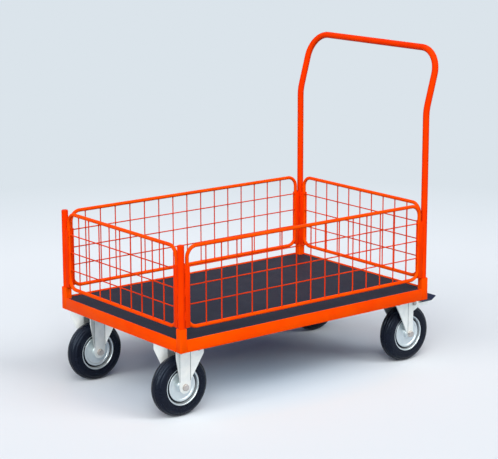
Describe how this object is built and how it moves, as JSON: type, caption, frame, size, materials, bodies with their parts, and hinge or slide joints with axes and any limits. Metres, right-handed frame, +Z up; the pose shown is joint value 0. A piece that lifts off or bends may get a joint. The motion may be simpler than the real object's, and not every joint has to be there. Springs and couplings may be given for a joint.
{
  "type": "platform trolley",
  "caption": "Platform trolley with low lift-out wire-mesh sides, a raked push handle, fixed front castors and braked swivel rear castors.",
  "frame": {"origin": "on the floor under the middle of the deck, which is centred between the rails", "axes": "+X from the front end towards the push handle, +Y to the pusher's right-hand side, +Z up"},
  "size_m": [1.1835, 0.68, 1.096],
  "materials": {
    "frame_paint": "orange-red gloss powder coat",
    "deck": "dark film-faced board",
    "zinc": "bright zinc plating",
    "tyre": "black solid rubber",
    "pedal": "black moulded pedal"
  },
  "bodies": {
    "chassis": {"front_rail": "frame_paint", "rear_rail": "frame_paint", "left_rail": "frame_paint", "right_rail": "frame_paint", "post_sockets": "frame_paint", "castor_backing_plates": "frame_paint", "deck_bearers": "frame_paint", "deck_board": "deck", "front_left_post": "frame_paint", "front_right_post": "frame_paint", "handle_tube": "frame_paint", "front_left_channels": "frame_paint", "front_right_channels": "frame_paint", "rear_left_channels": "frame_paint", "rear_right_channels": "frame_paint", "front_left_fork": "zinc", "front_left_axle": "zinc", "rear_left_top_plate": "zinc", "rear_left_kingpin": "zinc", "front_right_fork": "zinc", "front_right_axle": "zinc", "rear_right_top_plate": "zinc", "rear_right_kingpin": "zinc"},
    "left_panel": {"left_panel_rim": "frame_paint", "left_panel_mesh": "frame_paint"},
    "right_panel": {"right_panel_rim": "frame_paint", "right_panel_mesh": "frame_paint"},
    "front_panel": {"front_panel_rim": "frame_paint", "front_panel_mesh": "frame_paint"},
    "rear_panel": {"rear_panel_rim": "frame_paint", "rear_panel_mesh": "frame_paint"},
    "front_left_wheel": {"front_left_tyre": "tyre", "front_left_rim": "zinc"},
    "front_right_wheel": {"front_right_tyre": "tyre", "front_right_rim": "zinc"},
    "rear_left_swivel": {"rear_left_fork": "zinc", "rear_left_axle": "zinc", "rear_left_brake_bolt": "zinc"},
    "rear_left_wheel": {"rear_left_tyre": "tyre", "rear_left_rim": "zinc"},
    "rear_left_brake": {"rear_left_brake_lever": "zinc", "rear_left_brake_bush": "zinc", "rear_left_brake_shoe": "zinc", "rear_left_brake_pedal": "pedal"},
    "rear_right_swivel": {"rear_right_fork": "zinc", "rear_right_axle": "zinc", "rear_right_brake_bolt": "zinc"},
    "rear_right_wheel": {"rear_right_tyre": "tyre", "rear_right_rim": "zinc"},
    "rear_right_brake": {"rear_right_brake_lever": "zinc", "rear_right_brake_bush": "zinc", "rear_right_brake_shoe": "zinc", "rear_right_brake_pedal": "pedal"}
  },
  "joints": [
    {"name": "left_panel_lift", "type": "slide", "parent": "chassis", "child": "left_panel", "axis": [0, 0, 1], "range_m": [0, 0.21]},
    {"name": "right_panel_lift", "type": "slide", "parent": "chassis", "child": "right_panel", "axis": [0, 0, 1], "range_m": [0, 0.21]},
    {"name": "front_panel_lift", "type": "slide", "parent": "chassis", "child": "front_panel", "axis": [0, 0, 1], "range_m": [0, 0.21]},
    {"name": "rear_panel_lift", "type": "slide", "parent": "chassis", "child": "rear_panel", "axis": [0, 0, 1], "range_m": [0, 0.21]},
    {"name": "front_left_wheel_spin", "type": "hinge", "parent": "chassis", "child": "front_left_wheel", "pos_m": [-0.458, -0.242, 0.1], "axis": [0, 1, 0], "continuous": true},
    {"name": "front_right_wheel_spin", "type": "hinge", "parent": "chassis", "child": "front_right_wheel", "pos_m": [-0.458, 0.242, 0.1], "axis": [0, 1, 0], "continuous": true},
    {"name": "rear_left_swivel_turn", "type": "hinge", "parent": "chassis", "child": "rear_left_swivel", "pos_m": [0.458, -0.242, 0.218], "axis": [0, 0, 1], "continuous": true},
    {"name": "rear_left_wheel_spin", "type": "hinge", "parent": "rear_left_swivel", "child": "rear_left_wheel", "pos_m": [0.503, -0.242, 0.1], "axis": [0, 1, 0], "continuous": true},
    {"name": "rear_left_brake_press", "type": "hinge", "parent": "rear_left_swivel", "child": "rear_left_brake", "pos_m": [0.519, -0.242, 0.207], "axis": [0, 1, 0], "range_deg": [0, 5.2]},
    {"name": "rear_right_swivel_turn", "type": "hinge", "parent": "chassis", "child": "rear_right_swivel", "pos_m": [0.458, 0.242, 0.218], "axis": [0, 0, 1], "continuous": true},
    {"name": "rear_right_wheel_spin", "type": "hinge", "parent": "rear_right_swivel", "child": "rear_right_wheel", "pos_m": [0.503, 0.242, 0.1], "axis": [0, 1, 0], "continuous": true},
    {"name": "rear_right_brake_press", "type": "hinge", "parent": "rear_right_swivel", "child": "rear_right_brake", "pos_m": [0.519, 0.242, 0.207], "axis": [0, 1, 0], "range_deg": [0, 5.2]}
  ]
}
